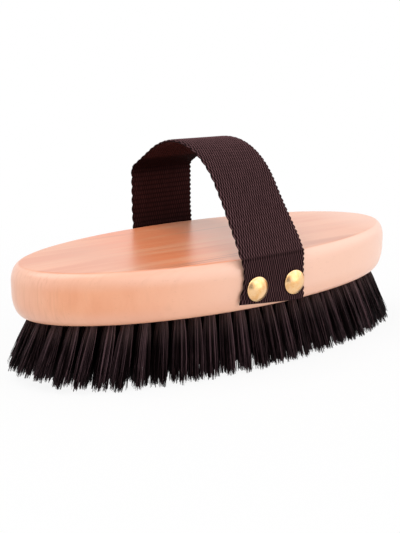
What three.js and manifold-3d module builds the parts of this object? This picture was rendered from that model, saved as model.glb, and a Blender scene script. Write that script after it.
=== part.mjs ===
// Oval body brush: a wooden back with tufts of bristle in its underside, and a webbing hand strap
// that is nailed to its two long sides. Millimetres, +Z up. The origin is under the middle of the
// back, on the plane of the bristle tips; +X runs along the back and -Y is its near side.

import * as THREE from 'three';
import { mergeGeometries, mergeVertices } from 'three/addons/utils/BufferGeometryUtils.js';
import Module from 'manifold-3d';

const wasm = await Module();
wasm.setup();

// Gap between pieces that touch on the real brush
const clearance = 0.3;

// Wooden back: an ellipse in plan, its upper and lower edges rounded over as quarter ellipses. At
// the two ends the lower round reaches further in, so the underside is a shorter oval.
const backLength = 205;
const backWidth = 90;
const backThickness = 23;
const upperRoundInset = 4.6;
const upperRoundDrop = 7.5;
const lowerRoundInset = 3.4;
const lowerRoundEndInset = 5;
const lowerRoundRise = 10.5;

// Bristles: tufts in ovals, one inside the other, in a bed in the underside, leaning outwards
const bristleReach = 28.2;
const bedDepth = 2;
const bedRim = 2.1;
const rowFromBedEdge = 3.2;
const rowSpacing = 9;
const ovalRowFromMiddle = 5.4;
const tuftPitch = 7.6;
const leanAtEnds = 25;
const leanAtSides = 15;
const strandsPerTuft = 2;
const strandSides = 3;
const strandRadius = 1.1;
const tuftRootRadius = 1.5;
const tuftTipRadius = 2.6;

// Webbing strap: it rises straight from the far side, bends over and slopes down to the near side
const strapWidth = 35;
const strapThickness = 1.6;
const strapCutHeight = 3.65;
const shoulderRise = 29.5;
const shoulderRadius = 4;
const farRunAngle = 31;
const crownRadius = 40;
const nearRunAngle = 53;
const foldRise = 2;
const foldRadius = 4;

// Domed nails, two through each end of the strap
const nailFromEdge = 7.1;
const nailFromCut = 6.7;
const nailHeadDiameter = 11.2;
const nailHeadHeight = 2.6;
const nailRimHeight = 0.4;
const nailShankDiameter = 2.2;
const nailLength = 15;
const nailPointLength = 3;

// How finely the round shapes are divided
const ovalSteps = 60;
const roundSteps = 5;
const bendSteps = 5;
const crownSteps = 14;
const nailSteps = 20;
const holeSteps = 12;

const halfLength = backLength / 2;
const halfWidth = backWidth / 2;
const underHalfLength = halfLength - (lowerRoundEndInset - lowerRoundInset);
const backTop = bristleReach + backThickness;
const bedInset = lowerRoundInset + bedRim;
const firstRowInset = bedInset + clearance + rowFromBedEdge;
const strapInnerFace = halfWidth + clearance;
const strapCentre = strapInnerFace + strapThickness / 2;
const strapOuterFace = strapInnerFace + strapThickness;
const nailOffset = strapWidth / 2 - nailFromEdge;
const nailHeight = bristleReach + strapCutHeight + nailFromCut;
const nailHoleRadius = nailShankDiameter / 2 + clearance;

const lacqueredWood = new THREE.MeshStandardMaterial({ color: 0xf0bd98, roughness: 0.38, metalness: 0 });
const darkBristle = new THREE.MeshStandardMaterial({ color: 0x1c1514, roughness: 0.42, metalness: 0 });
const brownWebbing = new THREE.MeshStandardMaterial({ color: 0x2b1f1d, roughness: 0.8, metalness: 0 });
const satinBrass = new THREE.MeshStandardMaterial({ color: 0xe3bf6c, roughness: 0.32, metalness: 1 });

const brush = new THREE.Group();

function addPiece(name, geometry, material) {
  geometry.computeVertexNormals();
  const piece = new THREE.Mesh(geometry, material);
  piece.name = name;
  brush.add(piece);
}

function radians(degrees) {
  return THREE.MathUtils.degToRad(degrees);
}

// A closed geometry as a solid that can be joined and cut
function solidOf(geometry) {
  const bare = new THREE.BufferGeometry();
  bare.setAttribute('position', geometry.getAttribute('position'));
  bare.setIndex(geometry.getIndex());
  const merged = mergeVertices(bare);
  return new wasm.Manifold(new wasm.Mesh({
    numProp: 3,
    vertProperties: Float32Array.from(merged.getAttribute('position').array),
    triVerts: Uint32Array.from(merged.getIndex().array),
  }));
}

function geometryOf(solid) {
  const mesh = solid.getMesh();
  const geometry = new THREE.BufferGeometry();
  geometry.setAttribute('position', new THREE.BufferAttribute(mesh.vertProperties, 3));
  geometry.setIndex(new THREE.BufferAttribute(mesh.triVerts, 1));
  return geometry;
}

// A skin over rings of equally many points, listed from the bottom up, with both ends closed
function loft(rings) {
  const count = rings[0].length;
  const last = rings.length - 1;
  const points = rings.flat();
  const faces = [];
  for (let row = 0; row < last; row += 1) {
    for (let i = 0; i < count; i += 1) {
      const here = row * count + i;
      const beside = row * count + (i + 1) % count;
      faces.push(here, beside, beside + count, here, beside + count, here + count);
    }
  }
  for (let i = 1; i < count - 1; i += 1) {
    faces.push(0, i + 1, i);
    faces.push(last * count, last * count + i, last * count + i + 1);
  }
  const geometry = new THREE.BufferGeometry().setFromPoints(points);
  geometry.setIndex(faces);
  return geometry;
}

// The back's plan drawn in at the ends and at the sides, as a ring of points at one height
function ovalRing(endInset, sideInset, height) {
  const oval = new THREE.EllipseCurve(0, 0, halfLength - endInset, halfWidth - sideInset);
  const points = oval.getPoints(ovalSteps).slice(0, ovalSteps);
  return points.map((point) => new THREE.Vector3(point.x, point.y, height));
}

// A flat plate of the underside's plan drawn in by an inset, with a hole of the same kind where an
// inner inset is given. A whole ellipse has twice as many steps as the curve segments asked for.
function ovalPlate(inset, innerInset, bottom, depth) {
  const outline = new THREE.Shape();
  outline.absellipse(0, 0, underHalfLength - inset, halfWidth - inset, 0, 2 * Math.PI);
  if (innerInset !== null) {
    const hole = new THREE.Path();
    hole.absellipse(0, 0, underHalfLength - innerInset, halfWidth - innerInset, 0, 2 * Math.PI);
    outline.holes.push(hole);
  }
  const plate = new THREE.ExtrudeGeometry(outline, {
    depth,
    bevelEnabled: false,
    curveSegments: ovalSteps / 2,
  });
  return plate.translate(0, 0, bottom);
}

function backBody() {
  const rings = [];
  for (let step = 0; step <= roundSteps; step += 1) {
    const turn = radians(90 * step / roundSteps);
    const share = 1 - Math.sin(turn);
    const height = bristleReach + lowerRoundRise * (1 - Math.cos(turn));
    rings.push(ovalRing(lowerRoundEndInset * share, lowerRoundInset * share, height));
  }
  for (let step = 0; step <= roundSteps; step += 1) {
    const turn = radians(90 * step / roundSteps);
    const inset = upperRoundInset * (1 - Math.cos(turn));
    rings.push(ovalRing(inset, inset, backTop - upperRoundDrop * (1 - Math.sin(turn))));
  }
  return loft(rings);
}

// The two long sides, each with the way that it faces along Y
const sides = [
  { side: 'near', facing: -1 },
  { side: 'far', facing: 1 },
];
const nailPlaces = [
  { place: 'left', x: -nailOffset },
  { place: 'right', x: nailOffset },
];

function woodenBack() {
  let wood = solidOf(backBody());
  const bedCut = ovalPlate(bedInset, null, bristleReach - clearance, bedDepth + 2 * clearance);
  wood = wood.subtract(solidOf(bedCut));
  const boreMiddle = strapOuterFace - nailLength / 2;
  for (const { facing } of sides) {
    for (const { x } of nailPlaces) {
      const bore = new THREE.CylinderGeometry(nailHoleRadius, nailHoleRadius, nailLength, holeSteps);
      bore.translate(x, facing * boreMiddle, nailHeight);
      wood = wood.subtract(solidOf(bore));
    }
  }
  return geometryOf(wood);
}

// Tufts stand evenly round an oval, or along a straight line in the middle
function tuftsOnOval(inset, stagger) {
  const oval = new THREE.EllipseCurve(0, 0, underHalfLength - inset, halfWidth - inset);
  oval.arcLengthDivisions = 10 * ovalSteps;
  const count = 2 * Math.round(oval.getLength() / tuftPitch / 2);
  return Array.from({ length: count }, (_, i) => oval.getPointAt((i + stagger) / count));
}

function tuftsOnLine(halfSpan) {
  const gaps = 2 * Math.round(halfSpan / tuftPitch);
  return Array.from({ length: gaps + 1 }, (_, i) => new THREE.Vector2((2 * i / gaps - 1) * halfSpan, 0));
}

// A tuft leans outwards in proportion to its distance from the middle, along each axis by itself
const endSlope = Math.tan(radians(leanAtEnds)) / (underHalfLength - firstRowInset);
const sideSlope = Math.tan(radians(leanAtSides)) / (halfWidth - firstRowInset);

// A straight strand from the tip plane up into the bed, its flat tip on z = 0
function strand(tuft, angle) {
  const spoke = new THREE.Vector2(Math.cos(angle), Math.sin(angle));
  const root = tuft.clone().addScaledVector(spoke, tuftRootRadius);
  const splay = new THREE.Vector2(tuft.x * endSlope, tuft.y * sideSlope);
  const tip = tuft.clone().addScaledVector(splay, bristleReach).addScaledVector(spoke, tuftTipRadius);
  const rise = root.sub(tip).divideScalar(bristleReach);
  const height = bristleReach + bedDepth / 2;
  const prism = new THREE.CylinderGeometry(strandRadius, strandRadius, height, strandSides);
  prism.rotateX(Math.PI / 2).rotateZ(angle).translate(0, 0, height / 2);
  const shear = new THREE.Matrix4().makeBasis(
    new THREE.Vector3(1, 0, 0),
    new THREE.Vector3(0, 1, 0),
    new THREE.Vector3(rise.x, rise.y, 1),
  );
  return prism.applyMatrix4(shear).translate(tip.x, tip.y, 0);
}

// The strands of some tufts, fused to their slice of the bed
function bristleField(tufts, slice) {
  const strands = tufts.flatMap((tuft) => {
    const outward = Math.atan2(tuft.y, tuft.x);
    const turns = Array.from({ length: strandsPerTuft }, (_, i) => 2 * Math.PI * i / strandsPerTuft);
    return turns.map((turn) => strand(tuft, outward + turn));
  });
  return geometryOf(solidOf(slice).add(solidOf(mergeGeometries(strands))));
}

// Three oval rows, each on its own ring of the bed, round a middle slice with the rows inside them
function addBristles() {
  const ringNames = ['bristles_outer_row', 'bristles_second_row', 'bristles_third_row'];
  let sliceInset = bedInset + clearance;
  let rowInset = firstRowInset;
  let stagger = 0.5;
  for (const name of ringNames) {
    const nextSlice = rowInset + rowSpacing / 2;
    const slice = ovalPlate(sliceInset, nextSlice - clearance / 2, bristleReach, bedDepth);
    addPiece(name, bristleField(tuftsOnOval(rowInset, stagger), slice), darkBristle);
    sliceInset = nextSlice + clearance / 2;
    rowInset += rowSpacing;
    stagger = 0.5 - stagger;
  }
  const middleTufts = [];
  while (halfWidth - rowInset > ovalRowFromMiddle) {
    middleTufts.push(...tuftsOnOval(rowInset, stagger));
    rowInset += rowSpacing;
    stagger = 0.5 - stagger;
  }
  middleTufts.push(...tuftsOnLine(underHalfLength - rowInset));
  const middleSlice = ovalPlate(sliceInset, null, bristleReach, bedDepth);
  addPiece('bristles_middle', bristleField(middleTufts, middleSlice), darkBristle);
}

// Points of an arc that rounds the corner between two straight runs
function bend(before, corner, after, radius, steps) {
  const arriving = corner.clone().sub(before).normalize();
  const leaving = after.clone().sub(corner).normalize();
  const turn = Math.atan2(arriving.cross(leaving), arriving.dot(leaving));
  const reach = radius * Math.tan(Math.abs(turn) / 2);
  const start = corner.clone().addScaledVector(arriving, -reach);
  const inward = new THREE.Vector2(-arriving.y, arriving.x).multiplyScalar(Math.sign(turn) * radius);
  const centre = start.clone().add(inward);
  return Array.from({ length: steps + 1 }, (_, i) => start.clone().rotateAround(centre, turn * i / steps));
}

// The middle of the strap's thickness in the (Y, Z) plane, from the far foot over to the near foot
function strapLine() {
  const foot = backTop + clearance;
  const farFoot = new THREE.Vector2(strapCentre, foot);
  const nearFoot = new THREE.Vector2(-strapCentre, foot);
  const shoulder = new THREE.Vector2(strapCentre, backTop + shoulderRise);
  const fold = new THREE.Vector2(-strapCentre, backTop + foldRise);
  const farSlope = Math.tan(radians(farRunAngle));
  const nearSlope = Math.tan(radians(nearRunAngle));
  const rise = shoulder.y - fold.y + farSlope * (shoulder.x - fold.x);
  const peakY = fold.x + rise / (nearSlope + farSlope);
  const peak = new THREE.Vector2(peakY, fold.y + nearSlope * (peakY - fold.x));
  return [
    farFoot,
    ...bend(farFoot, shoulder, peak, shoulderRadius, bendSteps),
    ...bend(shoulder, peak, fold, crownRadius, crownSteps),
    ...bend(peak, fold, nearFoot, foldRadius, bendSteps),
    nearFoot,
  ];
}

// The outline of a band of even thickness along a line
function bandOutline(line, thickness) {
  const offset = (side) => line.map((point, i) => {
    const ahead = line[Math.min(i + 1, line.length - 1)];
    const behind = line[Math.max(i - 1, 0)];
    const along = ahead.clone().sub(behind).normalize();
    const across = new THREE.Vector2(-along.y, along.x);
    return point.clone().addScaledVector(across, side * thickness / 2);
  });
  return new THREE.Shape([...offset(1), ...offset(-1).reverse()]);
}

// A (Y, Z) outline extruded along X, centred
function alongLength(outline, width) {
  const band = new THREE.ExtrudeGeometry(outline, { depth: width, bevelEnabled: false });
  return band.translate(0, 0, -width / 2).rotateY(Math.PI / 2).rotateX(Math.PI / 2);
}

// One nailed end of the strap: a flat length of webbing against the back's side, with its two holes
function strapEnd(facing) {
  const height = backThickness - strapCutHeight;
  const outline = new THREE.Shape();
  outline.moveTo(-strapWidth / 2, 0);
  outline.lineTo(strapWidth / 2, 0);
  outline.lineTo(strapWidth / 2, height);
  outline.lineTo(-strapWidth / 2, height);
  outline.closePath();
  for (const { x } of nailPlaces) {
    const hole = new THREE.Path();
    hole.absarc(x, nailFromCut, nailHoleRadius, 0, 2 * Math.PI);
    outline.holes.push(hole);
  }
  const plate = new THREE.ExtrudeGeometry(outline, {
    depth: strapThickness,
    bevelEnabled: false,
    curveSegments: holeSteps,
  });
  const inner = facing < 0 ? -strapInnerFace : strapOuterFace;
  return plate.rotateX(Math.PI / 2).translate(0, inner, bristleReach + strapCutHeight);
}

// A low dome on a rim, with a pointed shank, turned about its own axis
function nail() {
  const headRadius = nailHeadDiameter / 2;
  const shankRadius = nailShankDiameter / 2;
  const domeHeight = nailHeadHeight - nailRimHeight;
  const domeRadius = (headRadius ** 2 + domeHeight ** 2) / (2 * domeHeight);
  const domeTurn = Math.asin(headRadius / domeRadius);
  const profile = [
    new THREE.Vector2(0, -nailLength),
    new THREE.Vector2(shankRadius, nailPointLength - nailLength),
    new THREE.Vector2(shankRadius, 0),
    new THREE.Vector2(headRadius, 0),
  ];
  for (let step = 0; step <= roundSteps; step += 1) {
    const turn = domeTurn * (1 - step / roundSteps);
    const height = nailHeadHeight - domeRadius * (1 - Math.cos(turn));
    profile.push(new THREE.Vector2(domeRadius * Math.sin(turn), height));
  }
  return new THREE.LatheGeometry(profile, nailSteps);
}

addPiece('wooden_back', woodenBack(), lacqueredWood);
addBristles();
addPiece('strap_loop', alongLength(bandOutline(strapLine(), strapThickness), strapWidth), brownWebbing);
for (const { side, facing } of sides) {
  addPiece(`strap_end_${side}`, strapEnd(facing), brownWebbing);
  for (const { place, x } of nailPlaces) {
    const turned = facing < 0 ? nail().rotateZ(Math.PI) : nail();
    turned.translate(x, facing * (strapOuterFace + clearance), nailHeight);
    addPiece(`nail_${side}_${place}`, turned, satinBrass);
  }
}

export default brush;
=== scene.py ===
import math

import bpy
from mathutils import Matrix, Vector


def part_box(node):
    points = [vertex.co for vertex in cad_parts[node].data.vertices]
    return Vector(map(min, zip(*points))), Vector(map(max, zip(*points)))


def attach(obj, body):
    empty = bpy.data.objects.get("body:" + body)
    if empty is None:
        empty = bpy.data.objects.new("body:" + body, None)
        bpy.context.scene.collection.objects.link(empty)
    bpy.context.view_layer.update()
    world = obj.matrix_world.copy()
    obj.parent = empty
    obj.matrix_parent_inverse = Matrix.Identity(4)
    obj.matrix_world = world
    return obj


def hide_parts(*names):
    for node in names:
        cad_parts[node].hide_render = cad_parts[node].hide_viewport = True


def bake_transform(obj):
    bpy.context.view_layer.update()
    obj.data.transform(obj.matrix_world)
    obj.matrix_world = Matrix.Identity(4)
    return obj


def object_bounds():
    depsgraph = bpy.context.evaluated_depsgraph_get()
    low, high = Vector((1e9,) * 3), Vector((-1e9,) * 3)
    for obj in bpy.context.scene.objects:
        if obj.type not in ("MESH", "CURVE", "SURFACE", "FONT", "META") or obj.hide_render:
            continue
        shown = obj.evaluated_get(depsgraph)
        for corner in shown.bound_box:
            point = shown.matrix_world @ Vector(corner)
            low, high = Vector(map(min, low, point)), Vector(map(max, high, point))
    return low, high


# Oval body brush: lacquered wooden back, tufts of dark bristle and a nailed webbing hand strap
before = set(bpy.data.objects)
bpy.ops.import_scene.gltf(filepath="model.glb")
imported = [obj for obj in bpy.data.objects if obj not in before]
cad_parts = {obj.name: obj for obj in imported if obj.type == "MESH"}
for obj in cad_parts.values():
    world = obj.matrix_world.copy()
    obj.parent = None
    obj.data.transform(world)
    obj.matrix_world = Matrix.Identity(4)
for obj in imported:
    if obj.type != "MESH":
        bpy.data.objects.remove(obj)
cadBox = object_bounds()

mm = 0.001
scene = bpy.context.scene
woodLow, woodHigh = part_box("wooden_back")
halfLength = woodHigh.x
halfWidth = woodHigh.y
undersideHeight = woodLow.z


# One socket of a node tree: sums on it add Math nodes, and add makes every other node
class Wire:
    def __init__(self, tree, socket=None):
        self.tree = tree
        self.socket = socket

    def add(self, kind, settings=None, values=None, out=0):
        node = self.tree.nodes.new(kind)
        for key, value in (settings or {}).items():
            setattr(node, key, value)
        for key, value in (values or {}).items():
            if isinstance(value, Wire):
                self.tree.links.new(value.socket, node.inputs[key])
            else:
                node.inputs[key].default_value = value
        return Wire(self.tree, node.outputs[out]) if node.outputs else None

    def port(self, name):  # another output of the same node
        return Wire(self.tree, self.socket.node.outputs[name])

    def parts(self):  # X, Y and Z of a vector
        split = self.add("ShaderNodeSeparateXYZ", None, {"Vector": self})
        return split.port("X"), split.port("Y"), split.port("Z")

    def point(self, x, y, z):
        return self.add("ShaderNodeCombineXYZ", None, {"X": x, "Y": y, "Z": z})

    def vector(self, operation, values, out=0):
        return self.add("ShaderNodeVectorMath", {"operation": operation}, values, out)

    def calc(self, operation, *terms):
        return self.add("ShaderNodeMath", {"operation": operation}, dict(enumerate(terms)))

    def __add__(self, other):
        return self.calc("ADD", self, other)

    def __radd__(self, other):
        return self.calc("ADD", other, self)

    def __sub__(self, other):
        return self.calc("SUBTRACT", self, other)

    def __rsub__(self, other):
        return self.calc("SUBTRACT", other, self)

    def __mul__(self, other):
        return self.calc("MULTIPLY", self, other)

    def __rmul__(self, other):
        return self.calc("MULTIPLY", other, self)

    def __truediv__(self, other):
        return self.calc("DIVIDE", self, other)

    def __pow__(self, other):
        return self.calc("POWER", self, other)

    def __abs__(self):
        return self.calc("ABSOLUTE", self)


# Geometry Nodes trees: named inputs for the sizes, realized and given their finish at the end
socketKinds = {
    "size": "NodeSocketFloat",
    "count": "NodeSocketInt",
    "object": "NodeSocketObject",
    "finish": "NodeSocketMaterial",
    "geometry": "NodeSocketGeometry",
}


def startTree(name, inputs):
    tree = bpy.data.node_groups.new(name, "GeometryNodeTree")
    tree.interface.new_socket("Geometry", in_out="OUTPUT", socket_type=socketKinds["geometry"])
    for label, kind in {"Geometry": "geometry", **inputs, "Finish": "finish"}.items():
        tree.interface.new_socket(label, in_out="INPUT", socket_type=socketKinds[kind])
    source = tree.nodes.new("NodeGroupInput")
    return tree, {socket.name: Wire(tree, socket) for socket in source.outputs if socket.name}


def endTree(tree, given, shape):
    whole = shape.add("GeometryNodeRealizeInstances", None, {"Geometry": shape})
    dressing = {"Geometry": whole, "Material": given["Finish"]}
    dressed = shape.add("GeometryNodeSetMaterial", None, dressing)
    shape.add("NodeGroupOutput", None, {"Geometry": dressed})


def position(wire):
    return wire.add("GeometryNodeInputPosition")


def keep(shape, name, kind, value):  # a value stored on the points, for later nodes or the finish
    settings = {"data_type": kind, "domain": "POINT"}
    values = {"Geometry": shape, "Name": name, "Value": value}
    return shape.add("GeometryNodeStoreNamedAttribute", settings, values)


def growPiece(name, tree, base, sizes):
    piece = bpy.data.objects.new(name, base)
    scene.collection.objects.link(piece)
    modifier = piece.modifiers.new(tree.name, "NODES")
    modifier.node_group = tree
    for item in tree.interface.items_tree:
        if item.in_out == "INPUT" and item.name in sizes:
            modifier[item.identifier] = sizes[item.name]
    evaluated = piece.evaluated_get(bpy.context.evaluated_depsgraph_get())
    grown = bpy.data.meshes.new_from_object(evaluated)
    piece.modifiers.remove(modifier)
    piece.data = grown
    grown.name = name
    grown.shade_smooth()
    print(name, "has", sum(len(face.vertices) - 2 for face in grown.polygons), "triangles")
    return piece


def pointMesh(name, points, linked=False):
    mesh = bpy.data.meshes.new(name)
    edges = [(i, i + 1) for i in range(len(points) - 1)] if linked else []
    mesh.from_pydata(points, edges, [])
    return mesh


def putAway(piece):
    bpy.data.objects.remove(piece)


# Finishes
def startFinish(name):
    material = bpy.data.materials.new(name)
    material.use_nodes = True
    material.node_tree.nodes.clear()
    return material, Wire(material.node_tree)


def endFinish(wire, shader):
    wire.add("ShaderNodeOutputMaterial", None, {"Surface": shader})


def objectPlace(wire):
    return wire.add("ShaderNodeTexCoord").port("Object")


def stored(wire, name):  # an attribute that the piece's own tree kept
    return wire.add("ShaderNodeAttribute", {"attribute_name": name}, None, "Fac")


def mixColour(factor, first, second):
    values = {0: factor, 6: first, 7: second}
    return factor.add("ShaderNodeMix", {"data_type": "RGBA"}, values, out=2)


def noise(wire, place, stretch, detail, roughness=0.55, distortion=0.0):
    spread = wire.add("ShaderNodeMapping", None, {"Vector": place, "Scale": stretch})
    return wire.add("ShaderNodeTexNoise", None, {
        "Vector": spread,
        "Scale": 1.0,
        "Detail": detail,
        "Roughness": roughness,
        "Distortion": distortion,
    })


def bumped(height, strength, distance):
    values = {"Height": height, "Strength": strength, "Distance": distance}
    return height.add("ShaderNodeBump", None, values)


def ease(value, low, high):  # 0 below low, 1 above high, smooth between them
    values = {"Value": value, "From Min": low, "From Max": high}
    return value.add("ShaderNodeMapRange", {"interpolation_type": "SMOOTHSTEP"}, values)


def near(value, centre, inner, outer):  # 1 within inner of the centre, 0 beyond outer
    return 1.0 - ease(abs(value - centre), inner, outer)


def lacqueredWood():
    look = {
        "sidePale": (0.92, 0.420, 0.232, 1),
        "sideDeep": (0.86, 0.350, 0.182, 1),
        "endPale": (0.945, 0.575, 0.430, 1),
        # painted light: the rounded edges paler, a highlight along the top edge and floor light
        # along the bottom
        "roundsLightPale": (0.900, 0.550, 0.425, 1),
        "topPale": (0.87, 0.405, 0.238, 1),
        "topDeep": (0.77, 0.275, 0.138, 1),
        # painted reflection: the two colours of the band under the strap, for the dark strap
        # mirrored in the lacquer
        "strapMirrorPale": (0.99, 0.385, 0.190, 1),
        "strapMirrorDeep": (0.97, 0.268, 0.098, 1),
        # painted light: paler pink where the strap shades the top
        "shadowLiftPale": (0.99, 0.480, 0.310, 1),
        "streak": (0.52, 0.165, 0.085, 1),
        "pore": (0.42, 0.14, 0.07, 1),
    }
    grain = {  # noise cycles a metre along, across and up the wood, then how it is broken up
        "broad": ((9, 55, 22), 2.0),
        "bands": ((8, 130, 45), 3.0, 0.6, 0.4),
        "streaks": ((9, 240, 45), 4.0, 0.6, 0.5),
        "lines": ((14, 900, 160), 2.0),
        "rays": ((500, 1300, 40), 2.0),
        "pores": ((160, 2600, 1400), 1.0),
    }
    cuts = {  # where each noise starts to count, and where it counts in full
        "tone": (0.38, 0.62),
        "dark": (0.50, 0.74),
        "lines": (0.48, 0.62),
        "rays": (0.5, 0.7),
        "pores": (0.62, 0.8),
    }
    zones = {  # from and to, or a centre with an inner and an outer distance
        "rim": (woodHigh.z - 0.4 * mm, woodHigh.z - 0.005 * mm),
        "rounds": (3 * mm, 9 * mm),
        # paler towards the right end
        "towardsRight": (-85 * mm, 5 * mm),
        "leftEnd": (90 * mm, 102 * mm),
        "leftRays": (80 * mm, 98 * mm),
        "rightEnd": (62 * mm, 98 * mm),
        # painted reflection: the band under the strap
        "warm": (-20 * mm, 12 * mm, 50 * mm),
        # painted light: where the band turns paler and pinker
        "shadowLift": (-14 * mm, 12 * mm),
        "nearLine": (-34 * mm, 1 * mm, 6 * mm),
        "midLine": (-20 * mm, 16 * mm, 44 * mm),
        "rightLine": (44 * mm, 10 * mm, 26 * mm),
    }
    share = {  # how much of each is laid over the wood
        "towardsRightSide": 0.95,
        "towardsRightLower": 0.3,
        "towardsRightTop": 0.12,
        "leftEnd": 0.4,
        "rightEnd": 0.6,
        # painted highlight on the upper round, painted floor light on the lower round
        "upperRoundHighlight": 0.5,
        "lowerRoundBounce": 0.32,
        # painted reflection: how much deeper the band grows towards the far edge
        "farMirrorDeeper": 2.6,
        "shadowLift": 0.6,
        "warm": 0.93,
        "figureSide": 0.2,
        "figureTop": 0.5,
        "clearTowardsRight": 0.85,
        "rightLine": 0.6,
        "line": 0.7,
        "rays": 0.15,
        "pores": 0.12,
    }
    material, wire = startFinish("lacquered_wood")
    place = objectPlace(wire)
    along, across, up = place.parts()
    toLeft = 0.0 - along
    height = up - (woodLow.z + woodHigh.z) / 2
    onTop = ease(up, *zones["rim"])
    onSide = 1.0 - onTop
    upper = ease(height, *zones["rounds"])
    lower = ease(0.0 - height, *zones["rounds"])
    # 0 left of -85 mm along, 1 right of 5 mm: the wood turns paler towards the right end
    towardsRight = ease(along, *zones["towardsRight"])
    broad = noise(wire, place, *grain["broad"])
    streaks = noise(wire, place, *grain["streaks"])
    lines = noise(wire, place, *grain["lines"])
    tone = ease(broad * 0.5 + streaks * 0.5, *cuts["tone"])

    sides = mixColour(tone, look["sideDeep"], look["sidePale"])
    pale = towardsRight * (share["towardsRightSide"] - share["towardsRightLower"] * lower)
    pale = pale + ease(toLeft, *zones["leftEnd"]) * share["leftEnd"]
    sides = mixColour(pale, sides, look["endPale"])
    # painted light: the upper round paler for the highlight along the top edge, the lower round
    # paler for light thrown up from the floor
    rounds = share["upperRoundHighlight"] * upper + share["lowerRoundBounce"] * lower * (1.0 - towardsRight)
    sides = mixColour(rounds, sides, look["roundsLightPale"])

    # painted reflection: under the strap the top turns a deeper orange, most towards the far
    # edge, for the dark strap mirrored in the lacquer
    bands = noise(wire, place, *grain["bands"]) - across * share["farMirrorDeeper"]
    warm = mixColour(ease(bands, *cuts["tone"]), look["strapMirrorDeep"], look["strapMirrorPale"])
    # painted light: the band's right part turns paler and pinker, lifting the strap's shadow on
    # the top
    warm = mixColour(ease(along, *zones["shadowLift"]) * share["shadowLift"], warm, look["shadowLiftPale"])
    top = mixColour(tone, look["topDeep"], look["topPale"])
    top = mixColour(near(along, *zones["warm"]) * share["warm"], top, warm)
    pale = towardsRight * share["towardsRightTop"] + ease(along, *zones["rightEnd"]) * share["rightEnd"]
    top = mixColour(pale, top, look["endPale"])
    colour = mixColour(onTop, sides, top)

    figured = share["figureSide"] * (1.0 - share["clearTowardsRight"] * towardsRight) * onSide
    figured = figured + share["figureTop"] * onTop
    dark = ease(streaks * 0.7 + lines * 0.3, *cuts["dark"]) * figured
    colour = mixColour(dark, colour, look["streak"])
    fine = ease(lines, *cuts["lines"]) * near(along, *zones["midLine"])
    soft = share["rightLine"] * near(along, *zones["rightLine"])
    line = near(across, *zones["nearLine"]) * onTop * (fine + soft)
    colour = mixColour(line * share["line"], colour, look["streak"])
    rays = ease(noise(wire, place, *grain["rays"]), *cuts["rays"])
    rays = rays * ease(toLeft, *zones["leftRays"]) * onSide
    colour = mixColour(rays * share["rays"], colour, look["streak"])
    pores = ease(noise(wire, place, *grain["pores"]), *cuts["pores"])
    colour = mixColour(pores * share["pores"], colour, look["pore"])
    shader = wire.add("ShaderNodeBsdfPrincipled", None, {
        "Base Color": colour,
        "Roughness": 0.33 + broad * 0.12,
        "Normal": bumped(lines, 0.05, 0.2 * mm),
        "IOR": 1.5,
        "Specular IOR Level": 0.5,
        "Coat Weight": 0.6,
        "Coat Roughness": 0.28,
    })
    endFinish(wire, shader)
    return material


def darkBristle():
    look = {
        "black": (0.0026, 0.0011, 0.0012, 1),
        "brown": (0.170, 0.098, 0.112, 1),
        # painted light: a paler brown for the strands near the root
        "root": (0.205, 0.126, 0.124, 1),
    }
    mottling = ((600, 600, 140), 2.0)
    brownFrom = (0.42, 0.95)
    litRootReach = (0.08, 0.55)
    material, wire = startFinish("dark_bristle")
    # the strands' own tone, with the inner rows' painted shade in it
    tone = stored(wire, "tone")
    mottle = noise(wire, objectPlace(wire), *mottling)
    brown = ease(tone * 0.85 + mottle * 0.15, *brownFrom)
    # painted light: strands turn paler near the root, for light that reaches in between the tufts
    # there
    litRootShare = (1.0 - ease(stored(wire, "reached"), *litRootReach)) * (0.15 + 0.5 * tone)
    colour = mixColour(brown, look["black"], look["brown"])
    colour = mixColour(litRootShare, colour, look["root"])
    shader = wire.add("ShaderNodeBsdfPrincipled", None, {
        "Base Color": colour,
        "Roughness": 0.5 + tone * 0.1,
        "IOR": 1.5,
        "Specular IOR Level": 0.05,
        "Specular Tint": (1.0, 0.74, 0.82, 1),
    })
    endFinish(wire, shader)
    return material


def wovenWebbing():
    look = {
        "gap": (0.0035, 0.0011, 0.0011, 1),
        "outerYarn": (0.200, 0.099, 0.106, 1),
        # painted shade: the inner face darker and redder, for the shade inside the loop and light
        # thrown up from the wood
        "innerYarnShaded": (0.078, 0.028, 0.028, 1),
    }
    spun = {"yarn": ((900, 60, 1), 2.0), "fibre": ((9000, 700, 1), 2.0)}
    material, wire = startFinish("woven_webbing")
    place = wire.point(stored(wire, "across"), stored(wire, "along"), 0.0)
    yarn = noise(wire, place, *spun["yarn"])
    fibre = noise(wire, place, *spun["fibre"])
    # the yarns' height with the band's painted shades laid over it
    raisedAndShade = stored(wire, "proud") * (0.8 + 0.2 * stored(wire, "worn")) * (0.9 + 0.2 * yarn)
    raisedAndShade = raisedAndShade + (fibre - 0.5) * 0.1
    # painted shade: the inner face takes the darker, redder yarn
    colour = mixColour(stored(wire, "outer"), look["innerYarnShaded"], look["outerYarn"])
    colour = mixColour(raisedAndShade, look["gap"], colour)
    shader = wire.add("ShaderNodeBsdfPrincipled", None, {
        "Base Color": colour,
        "Roughness": 0.7 + yarn * 0.2,
        "Normal": bumped(fibre, 0.35, 0.08 * mm),
        "Specular IOR Level": 0.02,
        "Specular Tint": (1.0, 0.7, 0.7, 1),
    })
    endFinish(wire, shader)
    return material


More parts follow.
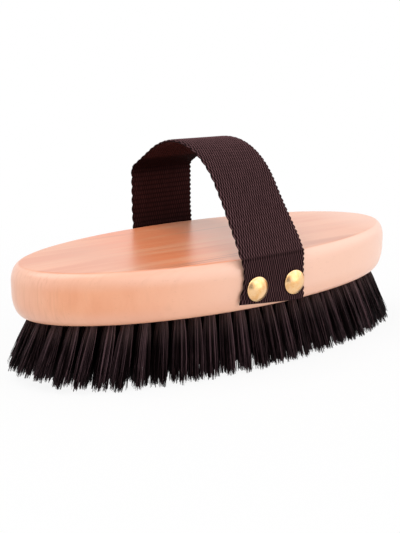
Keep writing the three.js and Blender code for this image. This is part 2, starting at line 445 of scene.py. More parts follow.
def satinBrass():
    look = {"pale": (0.95, 0.62, 0.33, 1), "warm": (0.87, 0.49, 0.20, 1)}
    wear = {"cloud": ((420, 420, 420), 3.0), "scuff": ((2600, 900, 2600), 2.0)}
    warmFrom = (0.35, 0.7)
    material, wire = startFinish("satin_brass")
    place = objectPlace(wire)
    cloud = noise(wire, place, *wear["cloud"])
    scuff = noise(wire, place, *wear["scuff"])
    shader = wire.add("ShaderNodeBsdfPrincipled", None, {
        "Base Color": mixColour(ease(cloud, *warmFrom), look["pale"], look["warm"]),
        "Metallic": 1.0,
        "Roughness": 0.24 + scuff * 0.1,
        "Normal": bumped(cloud, 0.06, 0.1 * mm),
    })
    endFinish(wire, shader)
    return material


finishes = {
    "wood": lacqueredWood(),
    "bristle": darkBristle(),
    "webbing": wovenWebbing(),
    "brass": satinBrass(),
}
print("finishes made:", ", ".join(finishes))


# Camera: the point it is set out from is the middle of the back's underside
cameraFacts = {
    "azimuth": 34.42,
    "elevation": 14.51,
    "distance": 480.93 * mm,
    "across": -6.467 * mm,
    "up": 8.7 * mm,
    "focalPixels": 997.5,
    "imagePixels": 533,
    "sensor": 36.0,
}


def bearing(azimuth, elevation):  # degrees, turned from the near side towards the left end
    turn = math.radians(azimuth)
    tilt = math.radians(elevation)
    level = math.cos(tilt)
    return Vector((-math.sin(turn) * level, -math.cos(turn) * level, math.sin(tilt)))


def addCamera(facts):
    turn = math.radians(facts["azimuth"])
    back = bearing(facts["azimuth"], facts["elevation"])
    right = Vector((math.cos(turn), -math.sin(turn), 0))
    up = back.cross(right)
    middle = Vector((0, 0, undersideHeight))
    place = middle + back * facts["distance"] + right * facts["across"] + up * facts["up"]
    data = bpy.data.cameras.new("camera")
    data.sensor_width = facts["sensor"]
    data.lens = facts["sensor"] * facts["focalPixels"] / facts["imagePixels"]
    data.clip_start = 10 * mm
    camera = bpy.data.objects.new("camera", data)
    facing = Matrix((right, up, back)).transposed().to_4x4()
    camera.matrix_world = Matrix.Translation(place) @ facing
    scene.collection.objects.link(camera)
    scene.camera = camera


addCamera(cameraFacts)
print("camera set")


# Bristles: tufts round ovals and along a line in the middle, each in its own drilled hole
tuftFacts = {
    "rowInset": 9.0 * mm,
    "rowSpacing": 9.0 * mm,
    "pitch": 7.6 * mm,
    "leanAtEnds": 23.6,
    "leanAtSides": 15.0,
    "endInset": 1.6 * mm,
    "filaments": 170,
    "filamentRadius": 0.23 * mm,
    "rootRadius": 1.9 * mm,
    "tipRadius": 3.5 * mm,
    "locks": 18,
    "lockWander": 0.55 * mm,
    "rootDepth": 3.0 * mm,
    "unevenTips": 3.6 * mm,
    # painted shade: the strands of the inner rows are darkened, for the shade among the tufts
    "innerRowShade": 0.3,
    "shortest": 4.0 * mm,
    "wornEnd": 4.4 * mm,
    "wornFrom": 66.0 * mm,
    "bow": 0.4 * mm,
    "wander": 0.6 * mm,
    "holeRadius": 2.3 * mm,
    "holeDepth": 9.0 * mm,
    "seed": 7,
}
strandFacts = {  # shares and powers that set how the strands of a tuft stand
    "crowding": 0.42,
    "gathering": 0.55,
    "ownWander": 0.6,
    "lockRagged": 0.45,
    "evenRight": 0.4,
    "strayPower": 14,
    "taper": 0.6,
    "singleTone": 0.5,
    "tuftTone": 0.12,
    "lockTone": 0.38,
}
reach = undersideHeight
underHalfLength = halfLength - tuftFacts["endInset"]


def leanSlope(degrees, half):  # lean a metre out from the middle, from the lean of the outer row
    return math.tan(math.radians(degrees)) / (half - tuftFacts["rowInset"])


endSlope = leanSlope(tuftFacts["leanAtEnds"], underHalfLength)
sideSlope = leanSlope(tuftFacts["leanAtSides"], halfWidth)


def tuftsOnOval(inset, stagger):
    steps = 2400
    turns = [2 * math.pi * i / steps for i in range(steps + 1)]
    longHalf = underHalfLength - inset
    shortHalf = halfWidth - inset
    spots = [(longHalf * math.cos(turn), shortHalf * math.sin(turn), reach) for turn in turns]
    oval = [Vector(spot) for spot in spots]
    walked = [0.0]
    for here, after in zip(oval, oval[1:]):
        walked.append(walked[-1] + (after - here).length)
    count = 2 * round(walked[-1] / tuftFacts["pitch"] / 2)
    tufts = []
    step = 0
    for i in range(count):
        wanted = (i + stagger) / count * walked[-1]
        while walked[step + 1] < wanted:
            step += 1
        part = (wanted - walked[step]) / (walked[step + 1] - walked[step])
        tufts.append(oval[step].lerp(oval[step + 1], part))
    return tufts


def tuftsOnLine(halfSpan):
    gaps = 2 * round(halfSpan / tuftFacts["pitch"])
    return [Vector(((2 * i / gaps - 1) * halfSpan, 0, reach)) for i in range(gaps + 1)]


def filamentTree(facts):
    tree, given = startTree("filament_tufts", {
        "Filaments": "count",
        "Filament radius": "size",
        "Root radius": "size",
        "Tip radius": "size",
        "Locks": "count",
        "Lock wander": "size",
        "Root depth": "size",
        "Reach": "size",
        "End slope": "size",
        "Side slope": "size",
        "Uneven tips": "size",
        "Shortest": "size",
        "Worn end": "size",
        "Worn from": "size",
        "Worn to": "size",
        "Bow": "size",
        "Wander": "size",
        # the row's painted shade: 1 for the outer row
        "Tone": "size",
        "Seed": "count",
    })
    wire = Wire(tree)

    def chance(low, high, salt, number=None):
        values = {2: low, 3: high, "Seed": given["Seed"] + salt}
        if number is not None:
            values["ID"] = number
        return wire.add("FunctionNodeRandomValue", {"data_type": "FLOAT"}, values, out=1)

    def recall(name, kind):
        return wire.add("GeometryNodeInputNamedAttribute", {"data_type": kind}, {"Name": name})

    numbered = keep(given["Geometry"], "tuft", "INT", wire.add("GeometryNodeInputIndex"))
    points = {"Geometry": numbered, "Amount": given["Filaments"]}
    strands = wire.add("GeometryNodeDuplicateElements", {"domain": "POINT"}, points)
    tuft = recall("tuft", "INT")
    x, y, z = position(wire).parts()
    spread = chance(0.0, 1.0, 1) ** facts["crowding"]
    angle = chance(0.0, 2 * math.pi, 2)
    spokeX = spread * wire.calc("COSINE", angle)
    spokeY = spread * wire.calc("SINE", angle)
    lock = wire.calc("FLOOR", angle * given["Locks"] / (2 * math.pi))
    gathering = facts["gathering"]
    gathered = (lock + 0.5) / given["Locks"] * (2 * math.pi * gathering)
    gathered = angle * (1.0 - gathering) + gathered
    lockNumber = lock + given["Locks"] * tuft
    leanX = x * given["End slope"]
    leanY = y * given["Side slope"]

    rootX = x + spokeX * given["Root radius"] - leanX * given["Root depth"]
    rootY = y + spokeY * given["Root radius"] - leanY * given["Root depth"]
    root = wire.point(rootX, rootY, z + given["Root depth"])
    kept = keep(strands, "root", "FLOAT_VECTOR", root)

    wander = given["Wander"]
    own = facts["ownWander"]
    worn = (0.0 - x - given["Worn from"]) / (given["Worn to"] - given["Worn from"])
    span = given["Reach"] - given["Worn end"] * wire.calc("MAXIMUM", worn, 0.0) ** 2.0
    tipX = x + leanX * span + spread * wire.calc("COSINE", gathered) * given["Tip radius"]
    tipX = tipX + wander * (chance(-1.0, 1.0, 3, tuft) + chance(-own, own, 4))
    tipX = tipX + given["Lock wander"] * chance(-1.0, 1.0, 13, lockNumber)
    tipY = y + leanY * span + spread * wire.calc("SINE", gathered) * given["Tip radius"]
    tipY = tipY + wander * (chance(-1.0, 1.0, 5, tuft) + chance(-own, own, 6))
    tipY = tipY + given["Lock wander"] * chance(-1.0, 1.0, 14, lockNumber)
    uneven = given["Uneven tips"] * (1.0 - facts["evenRight"] * x / given["Worn to"])
    ragged = facts["lockRagged"] * chance(0.0, 1.0, 15, lockNumber) ** 2.0
    ragged = ragged + (1.0 - facts["lockRagged"]) * chance(0.0, 1.0, 7) ** 2.0
    short = given["Shortest"] * chance(0.0, 1.0, 8) ** facts["strayPower"]
    tipZ = z - span + uneven * ragged + short
    kept = keep(kept, "tip", "FLOAT_VECTOR", wire.point(tipX, tipY, tipZ))

    bowX = given["Bow"] * (spokeX + chance(-1.0, 1.0, 9))
    bowY = given["Bow"] * (spokeY + chance(-1.0, 1.0, 10))
    kept = keep(kept, "bow", "FLOAT_VECTOR", wire.point(bowX, bowY, 0.0))
    tone = facts["singleTone"] * chance(0.0, 1.0, 11)
    tone = tone + facts["tuftTone"] * chance(0.0, 1.0, 12, tuft)
    tone = tone + facts["lockTone"] * chance(0.0, 1.0, 16, lockNumber)
    # each strand's own tone times its row's painted shade
    kept = keep(kept, "tone", "FLOAT", tone * given["Tone"])

    # a three-sided rod, its place along the strand and round it kept before it is instanced
    rodSizes = {"Vertices": 3, "Side Segments": 3, "Radius": 1.0, "Depth": 1.0}
    rod = wire.add("GeometryNodeMeshCylinder", None, rodSizes)
    rodX, rodY, rodZ = position(wire).parts()
    rod = keep(rod, "reached", "FLOAT", 0.5 - rodZ)
    rod = keep(rod, "ring", "FLOAT_VECTOR", wire.point(rodX, rodY, 0.0))
    placed = wire.add("GeometryNodeInstanceOnPoints", None, {"Points": kept, "Instance": rod})
    whole = wire.add("GeometryNodeRealizeInstances", None, {"Geometry": placed})

    reached = recall("reached", "FLOAT")
    line = wire.add("ShaderNodeMix", {"data_type": "VECTOR"}, {
        0: reached,
        4: recall("root", "FLOAT_VECTOR"),
        5: recall("tip", "FLOAT_VECTOR"),
    }, out=1)
    swell = 4.0 * reached * (1.0 - reached)
    girth = given["Filament radius"] * (1.0 - facts["taper"] * reached ** 3.0)
    bowed = wire.vector("SCALE", {0: recall("bow", "FLOAT_VECTOR"), 3: swell})
    ring = wire.vector("SCALE", {0: recall("ring", "FLOAT_VECTOR"), 3: girth})
    middle = wire.vector("ADD", {0: line, 1: bowed})
    skin = wire.vector("ADD", {0: middle, 1: ring})
    shape = wire.add("GeometryNodeSetPosition", None, {"Geometry": whole, "Position": skin})
    for name in ("tuft", "root", "tip", "bow", "ring"):
        shape = wire.add("GeometryNodeRemoveAttribute", None, {"Geometry": shape, "Name": name})
    endTree(tree, given, shape)
    return tree


def tuftRows():
    rows = {
        "bristles_outer_row": [],
        "bristles_second_row": [],
        "bristles_third_row": [],
        "bristles_middle": [],
    }
    inset = tuftFacts["rowInset"]
    stagger = 0.5
    for name in rows:
        rows[name] += tuftsOnOval(inset, stagger)
        inset += tuftFacts["rowSpacing"]
        stagger = 0.5 - stagger
    rows["bristles_middle"] += tuftsOnLine(underHalfLength - inset)
    return rows


def addBristles(facts, rows):
    tree = filamentTree(strandFacts)
    for number, (node, tufts) in enumerate(rows.items()):
        piece = growPiece(node.replace("bristles_", "tufts_"), tree, pointMesh(node, tufts), {
            "Filaments": facts["filaments"],
            "Filament radius": facts["filamentRadius"],
            "Root radius": facts["rootRadius"],
            "Tip radius": facts["tipRadius"],
            "Locks": facts["locks"],
            "Lock wander": facts["lockWander"],
            "Root depth": facts["rootDepth"],
            "Reach": reach,
            "End slope": endSlope,
            "Side slope": sideSlope,
            "Uneven tips": facts["unevenTips"],
            "Shortest": facts["shortest"],
            "Worn end": facts["wornEnd"],
            "Worn from": facts["wornFrom"],
            "Worn to": underHalfLength - facts["rowInset"],
            "Bow": facts["bow"],
            "Wander": facts["wander"],
            "Tone": facts["innerRowShade"] if number else 1.0,
            "Seed": facts["seed"] + 100 * number,
            "Finish": finishes["bristle"],
        })
        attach(piece, "brush")
        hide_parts(node)


rows = tuftRows()
addBristles(tuftFacts, rows)


# Turned solids: a profile of (side offset, end offset, height) carried round an oval
seamWeld = 0.002 * mm


def turnedTree():
    tree, given = startTree("turned_solid", {
        "Half length": "size",
        "Half width": "size",
        "Steps round": "count",
        "Profile points": "count",
    })
    wire = Wire(tree)
    grid = wire.add("GeometryNodeMeshGrid", None, {
        "Size X": 1.0,
        "Size Y": 1.0,
        "Vertices X": given["Steps round"] + 1,
        "Vertices Y": given["Profile points"],
    })
    gridX, gridY, _ = position(wire).parts()
    profile = wire.add("GeometryNodeSampleIndex", {"data_type": "FLOAT_VECTOR"}, {
        "Geometry": given["Geometry"],
        "Value": position(wire),
        "Index": wire.calc("ROUND", (gridY + 0.5) * (given["Profile points"] - 1)),
    })
    atSides, atEnds, height = profile.parts()
    turn = (gridX + 0.5) * (2 * math.pi)
    skin = wire.point(
        (given["Half length"] + atEnds) * wire.calc("COSINE", turn),
        (given["Half width"] + atSides) * wire.calc("SINE", turn),
        height,
    )
    shape = wire.add("GeometryNodeSetPosition", None, {"Geometry": grid, "Position": skin})
    welding = {"Geometry": shape, "Distance": seamWeld}
    shape = wire.add("GeometryNodeMergeByDistance", None, welding)
    endTree(tree, given, shape)
    return tree


turned = turnedTree()


# Wooden back: quarter-ellipse rounds below and above a straight side, with a hole for each tuft
backFacts = {
    "lowerInset": 3.4 * mm,
    "lowerRise": 10.5 * mm,
    "upperInset": 4.6 * mm,
    "upperDrop": 7.5 * mm,
    "flatLap": 0.7 * mm,
    "roundSteps": 14,
    "stepsRound": 264,
    "holeSides": 14,
    "sharpAngle": 40.0,
}


def backProfile(facts):
    bottom = woodLow.z
    top = woodHigh.z
    steps = facts["roundSteps"]
    lap = facts["flatLap"]
    lowerSide = facts["lowerInset"]
    lowerEnd = lowerSide + tuftFacts["endInset"]
    turns = [math.pi / 2 * i / steps for i in range(steps + 1)]
    points = [(-halfWidth, -halfLength, bottom), (-lowerSide - lap, -lowerEnd - lap, bottom)]
    for turn in turns:
        drawnIn = 1 - math.sin(turn)
        height = bottom + facts["lowerRise"] * (1 - math.cos(turn))
        points.append((-lowerSide * drawnIn, -lowerEnd * drawnIn, height))
    for turn in turns:
        inset = facts["upperInset"] * (1 - math.cos(turn))
        points.append((-inset, -inset, top - facts["upperDrop"] * (1 - math.sin(turn))))
    inset = facts["upperInset"] + lap
    points += [(-inset, -inset, top), (-halfWidth, -halfLength, top)]
    return points


def drilledTree():
    tree, given = startTree("drilled_back", {
        "Tufts": "object",
        "Hole radius": "size",
        "Hole depth": "size",
        "Hole sides": "count",
        "End slope": "size",
        "Side slope": "size",
    })
    wire = Wire(tree)
    tufts = wire.add("GeometryNodeObjectInfo", None, {"Object": given["Tufts"]}).port("Geometry")
    x, y, _ = position(wire).parts()
    axis = wire.point(x * given["End slope"] * -1.0, y * given["Side slope"] * -1.0, 1.0)
    lean = wire.add("FunctionNodeAlignRotationToVector", {"axis": "Z"}, {"Vector": axis})
    drill = wire.add("GeometryNodeMeshCylinder", None, {
        "Vertices": given["Hole sides"],
        "Radius": given["Hole radius"],
        "Depth": given["Hole depth"] * 2.0,
    })
    drilling = {"Points": tufts, "Instance": drill, "Rotation": lean}
    drills = wire.add("GeometryNodeInstanceOnPoints", None, drilling)
    cutter = wire.add("GeometryNodeRealizeInstances", None, {"Geometry": drills})
    cut = wire.add("GeometryNodeMeshBoolean", {"operation": "DIFFERENCE", "solver": "MANIFOLD"}, {
        "Mesh 1": given["Geometry"],
        "Mesh 2": cutter,
    })
    endTree(tree, given, cut)
    return tree


def addBack(facts, rows):
    profile = backProfile(facts)
    block = growPiece("back_block", turned, pointMesh("back_profile", profile, linked=True), {
        "Half length": halfLength,
        "Half width": halfWidth,
        "Steps round": facts["stepsRound"],
        "Profile points": len(profile),
        "Finish": finishes["wood"],
    })
    everyTuft = [tuft for tufts in rows.values() for tuft in tufts]
    marks = bpy.data.objects.new("tuft_marks", pointMesh("tuft_marks", everyTuft))
    scene.collection.objects.link(marks)
    back = growPiece("oval_back", drilledTree(), block.data.copy(), {
        "Tufts": marks,
        "Hole radius": tuftFacts["holeRadius"],
        "Hole depth": tuftFacts["holeDepth"],
        "Hole sides": facts["holeSides"],
        "End slope": endSlope,
        "Side slope": sideSlope,
        "Finish": finishes["wood"],
    })
    back.data.set_sharp_from_angle(angle=math.radians(facts["sharpAngle"]))
    putAway(block)
    putAway(marks)
    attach(back, "brush")
    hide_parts("wooden_back")


addBack(backFacts, rows)


# Webbing strap: one woven band from the near cut end, over the hand gap, to the far cut end
strapFacts = {
    "cutWidth": 35.0 * mm,
    "tabWidth": 35.4 * mm,
    "loopWidth": 34.4 * mm,
    "thickness": 1.5 * mm,
    "shoulderRise": 29.5 * mm,
    "shoulderRadius": 3.4 * mm,
    "shoulderSteps": 20,
    "farRunAngle": 31.0,
    "crownRadius": 40.0 * mm,
    "crownSteps": 48,
    "nearRunAngle": 53.6,
    "foldRise": 0.8 * mm,
    "foldRadius": 1.4 * mm,
    "foldSteps": 16,
    "twist": 1.3 * mm,
    "cutDrop": 1.2 * mm,
    "cutSlant": 1.4 * mm,
    "waist": 1.5 * mm,
    "columns": 54,
    "stepsPerColumn": 2,
    "pick": 2.32 * mm,
    "stepsPerPick": 5,
    "relief": 0.36 * mm,
    "scallop": 0.85 * mm,
    "edgePower": 26.0,
    "sealedEnd": 0.9 * mm,
    "crease": 0.9 * mm,
    "shade": 4.5 * mm,
    "seed": 3,
}
weaveFacts = {
    "ribPower": 0.6,
    "turning": (0.3, 0.7),
    "crestPower": (0.7, 2.0),  # this and the next three: inner face, outer face
    "crestFloor": (0.3, 0.02),
    "dashes": (0.56, 0.95),
    "ribs": (0.44, 0.05),
    "ground": 0.02,
    # painted shade along both edges of the band
    "selvedge": (0.972, 0.998),
    "selvedgeShade": 0.75,
    # painted shade inside the loop: at the shoulder and low on the far leg
    "shoulderShade": 0.68,
    "depthShade": 0.3,
    "depthReach": 20 * mm,
    # painted shade at the fold's crease and on the tab
    "creaseShade": 0.5,
    "tabShade": 0.22,
    "loopTurns": (0.5, 1.0),  # this and the next: left edge, right edge
    "loopPush": (-0.74, 1.0),
    "loopPower": 12.0,
    "restHeight": 0.6,
    "narrowing": (0.01, 0.07),  # this and the next three: shares of the length
    "twistIn": (0.10, 0.28),
    "twistOut": (0.30, 0.62),
    "cutReach": 0.09,
    "waistFrom": (1.5 * mm, 9 * mm),
    "waistTo": (-6 * mm, 2 * mm),  # from the fold
    "waistPower": 4.0,
    "hugReach": 8 * mm,
    "edgeWeld": 0.004 * mm,
}


def bend(before, corner, after, radius, steps):
    arriving = (corner - before).normalized()
    leaving = (after - corner).normalized()
    turn = math.atan2(arriving.cross(leaving), arriving.dot(leaving))
    start = corner - arriving * radius * math.tan(abs(turn) / 2)
    centre = start + arriving.orthogonal() * radius * math.copysign(1, turn)
    turns = [Matrix.Rotation(turn * i / steps, 2) for i in range(steps + 1)]
    return [centre + rotation @ (start - centre) for rotation in turns]


def strapLine(facts):
    endLow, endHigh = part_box("strap_end_far")
    top = woodHigh.z
    side = (endLow.y + endHigh.y) / 2
    nearCut = Vector((-side, endLow.z))
    farCut = Vector((side, endLow.z))
    shoulder = Vector((side, top + facts["shoulderRise"]))
    fold = Vector((-side, top + facts["foldRise"]))
    farSlope = math.tan(math.radians(facts["farRunAngle"]))
    nearSlope = math.tan(math.radians(facts["nearRunAngle"]))
    rise = shoulder.y - fold.y + farSlope * (shoulder.x - fold.x)
    peakY = fold.x + rise / (nearSlope + farSlope)
    peak = Vector((peakY, fold.y + nearSlope * (peakY - fold.x)))
    line = [nearCut]
    line += bend(nearCut, fold, peak, facts["foldRadius"], facts["foldSteps"])
    line += bend(fold, peak, shoulder, facts["crownRadius"], facts["crownSteps"])
    line += bend(peak, shoulder, farCut, facts["shoulderRadius"], facts["shoulderSteps"])
    line.append(farCut)
    return [Vector((0, point.x, point.y)) for point in line]


def wovenTree(facts):
    tree, given = startTree("woven_band", {
        "Tab width": "size",
        "Loop width": "size",
        "Thickness": "size",
        "Length": "size",
        "Columns": "count",
        "Pick": "size",
        "Relief": "size",
        "Scallop": "size",
        "Edge power": "size",
        "Sealed end": "size",
        "Side bend": "size",
        "Bend below": "size",
        "Twist": "size",
        "Cut drop": "size",
        "Cut slant": "size",
        "Waist": "size",
        "Fold at": "size",
        "Crease": "size",
        "Shoulder at": "size",
        "Shade": "size",
        "Seed": "count",
        "Steps across": "count",
        "Steps along": "count",
    })
    wire = Wire(tree)
    centre = wire.add("GeometryNodeMeshToCurve", None, {"Mesh": given["Geometry"]})
    grid = wire.add("GeometryNodeMeshGrid", None, {
        "Size X": 1.0,
        "Size Y": 1.0,
        "Vertices X": 2.0 * given["Steps across"] + 1.0,
        "Vertices Y": given["Steps along"] + 1.0,
    })
    gridX, gridY, _ = position(wire).parts()
    around = gridX + 0.5
    share = gridY + 0.5
    face = wire.calc("SIGN", 0.5 - around)
    across = 0.5 - abs(1.0 - 2.0 * around)
    along = share * given["Length"]
    edge = abs(across * 2.0)
    side = wire.calc("SIGN", across)
    outer = 0.5 + 0.5 * face
    sampling = {"Curves": centre, "Factor": share}
    spot = wire.add("GeometryNodeSampleCurve", {"mode": "FACTOR"}, sampling)
    _, spotY, spotZ = spot.port("Position").parts()
    _, tangentY, tangentZ = spot.port("Tangent").parts()

    def byFace(pair):  # the first on the inner face, the second on the outer one
        return pair[0] + (pair[1] - pair[0]) * outer

    def bySide(pair):  # the first at the left edge, the second at the right one
        return (pair[0] + pair[1]) / 2 + (pair[1] - pair[0]) / 2 * side

    # plain weave: in each pick every other column lies on top, and the next pick takes the rest
    columnPlace = (across + 0.5) * given["Columns"]
    pickPlace = along / given["Pick"]
    column = wire.calc("FLOOR", columnPlace + 0.001)
    dashPlace = column + pickPlace + 0.5 * face
    rib = abs(wire.calc("SINE", pickPlace * math.pi)) ** facts["ribPower"]
    over = 0.5 + 0.5 * wire.calc("COSINE", dashPlace * math.pi)
    turns = ease(over, *facts["turning"])
    crest = abs(wire.calc("SINE", columnPlace * math.pi)) ** byFace(facts["crestPower"])
    crestFloor = byFace(facts["crestFloor"])
    crest = crestFloor + (1.0 - crestFloor) * crest
    weave = turns * byFace(facts["dashes"]) + rib * byFace(facts["ribs"]) + facts["ground"]
    # painted shade: the yarns darken at both edges, for the band's thickness in shadow
    proud = weave * crest * (1.0 - facts["selvedgeShade"] * ease(edge, *facts["selvedge"]))

    # painted shade at the fold's crease and on the tab, and painted shade inside the loop, whose
    # inner face is hidden from light
    fromFold = along - given["Fold at"]
    crease = 1.0 - ease(abs(fromFold), 0.0, given["Crease"])
    tab = 1.0 - ease(fromFold, 0.0 - given["Crease"], given["Crease"])
    foldShade = facts["creaseShade"] * crease + facts["tabShade"] * tab
    shadeReach = 2.2 * given["Shade"]
    shade = near(along + given["Shade"], given["Shoulder at"], given["Shade"], shadeReach)
    bendBelow = given["Bend below"]
    depth = 1.0 - ease(spotZ, bendBelow, bendBelow + facts["depthReach"])
    inShade = (1.0 - outer) * (facts["shoulderShade"] * shade + facts["depthShade"] * depth)
    proud = proud * (1.0 - foldShade * outer) * (1.0 - inShade)
    dash = wire.calc("FLOOR", (dashPlace + 1.0) * 0.5)
    draw = {2: 0.0, 3: 1.0, "ID": dash * given["Columns"] + column, "Seed": given["Seed"]}
    worn = wire.add("FunctionNodeRandomValue", {"data_type": "FLOAT"}, draw, out=1)

    # the weft's loops push the edges out, and the nailed end is drawn in on the left
    loops = abs(wire.calc("COSINE", pickPlace * bySide(facts["loopTurns"]) * math.pi))
    pushed = given["Scallop"] * bySide(facts["loopPush"]) * edge ** facts["loopPower"] * loops
    fromCut = wire.calc("MINIMUM", share, 1.0 - share)
    narrowing = ease(fromCut, *facts["narrowing"])
    width = given["Tab width"] + (given["Loop width"] - given["Tab width"]) * narrowing
    waist = ease(along, *facts["waistFrom"]) * (1.0 - ease(fromFold, *facts["waistTo"]))
    waist = given["Waist"] * waist * edge ** facts["waistPower"] * bySide((1.0, 0.0))
    sideways = across * width + pushed + waist

    fromEnd = wire.calc("MINIMUM", along, given["Length"] - along) / given["Sealed end"]
    closing = 1.0 - wire.calc("MINIMUM", fromEnd, 1.0)
    endShape = wire.calc("SQRT", 1.0 - closing * closing)
    body = wire.calc("SQRT", 1.0 - edge ** given["Edge power"]) * endShape
    hug = 1.0 - ease(spotZ, bendBelow, bendBelow + facts["hugReach"])
    inward = given["Side bend"] * sideways * sideways * hug
    twisted = ease(share, *facts["twistIn"]) * (1.0 - ease(share, *facts["twistOut"]))
    thick = given["Thickness"] * 0.5 + given["Relief"] * (proud - facts["restHeight"])
    out = face * body * thick - inward - 2.0 * across * (given["Twist"] * twisted)
    lowered = given["Cut drop"] + 2.0 * across * given["Cut slant"]
    lowered = (1.0 - ease(share, 0.0, facts["cutReach"])) * lowered
    skin = wire.point(sideways, spotY - tangentZ * out, spotZ + tangentY * out - lowered)
    shape = grid
    # the weave's height is kept with the painted shades of the band in it
    kept = {"across": sideways, "along": along, "proud": proud, "outer": outer, "worn": worn}
    for name, value in kept.items():
        shape = keep(shape, name, "FLOAT", value)
    shape = wire.add("GeometryNodeSetPosition", None, {"Geometry": shape, "Position": skin})
    welding = {"Geometry": shape, "Distance": facts["edgeWeld"]}
    shape = wire.add("GeometryNodeMergeByDistance", None, welding)
    endTree(tree, given, shape)
    return tree


def addStrap(facts):
    line = strapLine(facts)
    length = sum((after - here).length for here, after in zip(line, line[1:]))
    picks = round(length / facts["pick"])
    foldAt = woodHigh.z + facts["foldRise"] - line[0].z
    shoulderAt = length - (woodHigh.z + facts["shoulderRise"] - line[-1].z)
    centreLine = pointMesh("strap_line", line, linked=True)
    strap = growPiece("woven_strap", wovenTree(weaveFacts), centreLine, {
        "Tab width": facts["tabWidth"],
        "Loop width": facts["loopWidth"],
        "Thickness": facts["thickness"],
        "Length": length,
        "Columns": facts["columns"],
        "Pick": length / picks,
        "Relief": facts["relief"],
        "Scallop": facts["scallop"],
        "Edge power": facts["edgePower"],
        "Sealed end": facts["sealedEnd"],
        "Side bend": halfWidth / (2 * halfLength ** 2),
        "Bend below": woodHigh.z,
        "Twist": facts["twist"],
        "Cut drop": facts["cutDrop"],
        "Cut slant": facts["cutSlant"],
        "Waist": facts["waist"],
        "Fold at": foldAt,
        "Crease": facts["crease"],
        "Shoulder at": shoulderAt,
        "Shade": facts["shade"],
        "Seed": facts["seed"],
        "Steps across": facts["columns"] * facts["stepsPerColumn"],
        "Steps along": picks * facts["stepsPerPick"],
        "Finish": finishes["webbing"],
    })
    print("strap cut length", round(length / mm, 1), "mm")
    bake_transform(strap)
    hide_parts("strap_loop", "strap_end_near", "strap_end_far")


addStrap(strapFacts)


# Domed brass nails, two through each end of the strap
nailFacts = {
    "headRadius": 5.6 * mm,
    "headHeight": 2.6 * mm,
    "rimHeight": 0.3 * mm,
    "rimRound": 0.12 * mm,
    "bevel": 0.1 * mm,
    "lipDrop": 0.15 * mm,
    "setOver": 0.7 * mm,
    "shankRadius": 1.1 * mm,
    "length": 15.0 * mm,
    "point": 3.0 * mm,
    "domeSteps": 14,
    "stepsRound": 48,
    "sharpAngle": 50.0,
}


def nailProfile(facts):
    radius = facts["headRadius"]
    shank = facts["shankRadius"]
    rim = facts["rimHeight"]
    bevel = facts["bevel"]
    dome = facts["headHeight"] - rim
    lip = radius - facts["rimRound"]
    domeRadius = (lip ** 2 + dome ** 2) / (2 * dome)
    reachTurn = math.asin(lip / domeRadius)
    points = [
        (0, -facts["length"]),
        (shank, facts["point"] - facts["length"]),
        (shank, 0),
        (radius - bevel, 0),
        (radius, bevel),
        (radius, rim - facts["lipDrop"]),
        (radius - bevel, rim),
    ]
    for step in range(facts["domeSteps"] + 1):
        turn = reachTurn * (1 - step / facts["domeSteps"])
        height = facts["headHeight"] - domeRadius * (1 - math.cos(turn))
        points.append((domeRadius * math.sin(turn), height))
    return [(offset, offset, height) for offset, height in points]


def nailedTree():
    tree, given = startTree("nails_in_place", {"Nail": "object"})
    wire = Wire(tree)
    nail = wire.add("GeometryNodeObjectInfo", None, {"Object": given["Nail"]}).port("Geometry")
    _, y, _ = position(wire).parts()
    outward = wire.point(0.0, wire.calc("SIGN", y), 0.0)
    facing = wire.add("FunctionNodeAlignRotationToVector", {"axis": "Z"}, {"Vector": outward})
    driving = {"Points": given["Geometry"], "Instance": nail, "Rotation": facing}
    endTree(tree, given, wire.add("GeometryNodeInstanceOnPoints", None, driving))
    return tree


def addNails(facts):
    nodes = ["nail_near_left", "nail_near_right", "nail_far_left", "nail_far_right"]
    heads = []
    for node in nodes:
        low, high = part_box(node)
        onNearSide = low.y < 0
        seat = low.y + facts["headHeight"] if onNearSide else high.y - facts["headHeight"]
        place = ((low.x + high.x) / 2 + facts["setOver"], seat, (low.z + high.z) / 2)
        heads.append(Vector(place))
    profile = nailProfile(facts)
    single = growPiece("single_nail", turned, pointMesh("nail_profile", profile, linked=True), {
        "Half length": 0.0,
        "Half width": 0.0,
        "Steps round": facts["stepsRound"],
        "Profile points": len(profile),
        "Finish": finishes["brass"],
    })
    nails = growPiece("domed_nails", nailedTree(), pointMesh("nail_heads", heads), {
        "Nail": single,
        "Finish": finishes["brass"],
    })
    nails.data.set_sharp_from_angle(angle=math.radians(facts["sharpAngle"]))
    putAway(single)
    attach(nails, "brush")
    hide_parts(*nodes)


addNails(nailFacts)


# Pale floor, soft lamps and a white surround; a lamp's azimuth is to the right of the camera
stageFacts = {
    "floorSide": 60.0,
    "floorDrop": 0.2 * mm,
    "floorGrey": (0.86, 0.86, 0.86, 1),
    "white": (1, 1, 1, 1),
    "surround": 0.45,
    "shadowShare": 0.1,
    "shadowReach": (0.1, 0.3),
    "darkEnd": {"turn": -8, "skyLift": 8, "inner": 18, "outer": 42, "share": 0.7},
    "lamps": {
        "right": {"azimuth": 108, "elevation": 32, "distance": 1.2, "size": 1.0, "watts": 2.6},
        "front": {"azimuth": 48, "elevation": 20, "distance": 1.2, "size": 1.4, "watts": 6.6},
        "left": {"azimuth": -62, "elevation": 64, "distance": 1.3, "size": 1.1, "watts": 10.6},
    },
}


def shownRays(paths):  # 1 for what the camera, gloss and glass see, 0 for light on the object
    seen = paths.port("Is Camera Ray") + paths.port("Is Glossy Ray")
    seen = seen + paths.port("Is Transmission Ray")
    return seen.calc("MINIMUM", seen, 1.0)


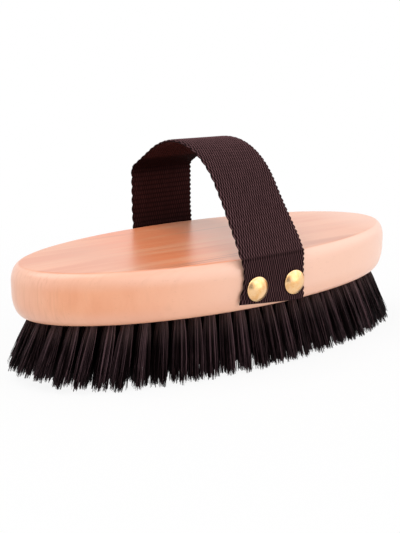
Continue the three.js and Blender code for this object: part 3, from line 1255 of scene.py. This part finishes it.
# The dark end of the studio, at a fixed place that only gloss shows
def darkEnd(paths, place, lift, facts):
    towards = bearing(cameraFacts["azimuth"] + facts["turn"], lift)
    ahead = place.vector("NORMALIZE", {0: place})
    facing = place.vector("DOT_PRODUCT", {0: ahead, 1: towards}, "Value")
    outer = math.cos(math.radians(facts["outer"]))
    inner = math.cos(math.radians(facts["inner"]))
    return paths.port("Is Glossy Ray") * ease(facing, outer, inner) * facts["share"]


def paleFloor(facts):
    material, wire = startFinish("pale_floor")
    paths = wire.add("ShaderNodeLightPath")
    matt = wire.add("ShaderNodeBsdfDiffuse", None, {"Color": facts["floorGrey"]})
    white = wire.add("ShaderNodeEmission", None, {"Color": facts["white"], "Strength": 1.0})
    place = objectPlace(wire)
    shadow = facts["shadowShare"]
    clear = ease(place.vector("LENGTH", {0: place}, "Value"), *facts["shadowReach"])
    share = shownRays(paths) * ((1.0 - shadow) + shadow * clear)
    share = share - darkEnd(paths, place, 0.0, facts["darkEnd"])
    endFinish(wire, wire.add("ShaderNodeMixShader", None, {0: share, 1: matt, 2: white}))
    return material


def addFloor(facts):
    half = facts["floorSide"] / 2
    drop = -facts["floorDrop"]
    mesh = bpy.data.meshes.new("floor")
    corners = [(-half, -half, drop), (half, -half, drop), (half, half, drop), (-half, half, drop)]
    mesh.from_pydata(corners, [], [(0, 1, 2, 3)])
    mesh.materials.append(paleFloor(facts))
    floor = bpy.data.objects.new("floor", mesh)
    scene.collection.objects.link(floor)


def addLamps(facts):
    target = (cadBox[0] + cadBox[1]) / 2
    for name, lamp in facts["lamps"].items():
        away = bearing(cameraFacts["azimuth"] - lamp["azimuth"], lamp["elevation"])
        data = bpy.data.lights.new(name, "AREA")
        data.size = lamp["size"]
        data.energy = lamp["watts"]
        light = bpy.data.objects.new(name, data)
        light.location = target + away * lamp["distance"]
        light.rotation_euler = away.to_track_quat("Z", "Y").to_euler()
        scene.collection.objects.link(light)


def addSurround(facts):
    world = bpy.data.worlds.new("surround")
    world.use_nodes = True
    world.node_tree.nodes.clear()
    wire = Wire(world.node_tree)
    paths = wire.add("ShaderNodeLightPath")
    place = wire.add("ShaderNodeTexCoord").port("Generated")
    dark = darkEnd(paths, place, facts["darkEnd"]["skyLift"], facts["darkEnd"])
    strength = facts["surround"] + shownRays(paths) * (1.0 - facts["surround"]) - dark
    sky = wire.add("ShaderNodeBackground", None, {"Color": facts["white"], "Strength": strength})
    wire.add("ShaderNodeOutputWorld", None, {"Surface": sky})
    scene.world = world


addFloor(stageFacts)
addLamps(stageFacts)
addSurround(stageFacts)
scene.view_settings.view_transform = "Standard"
print("floor, lamps and surround set")
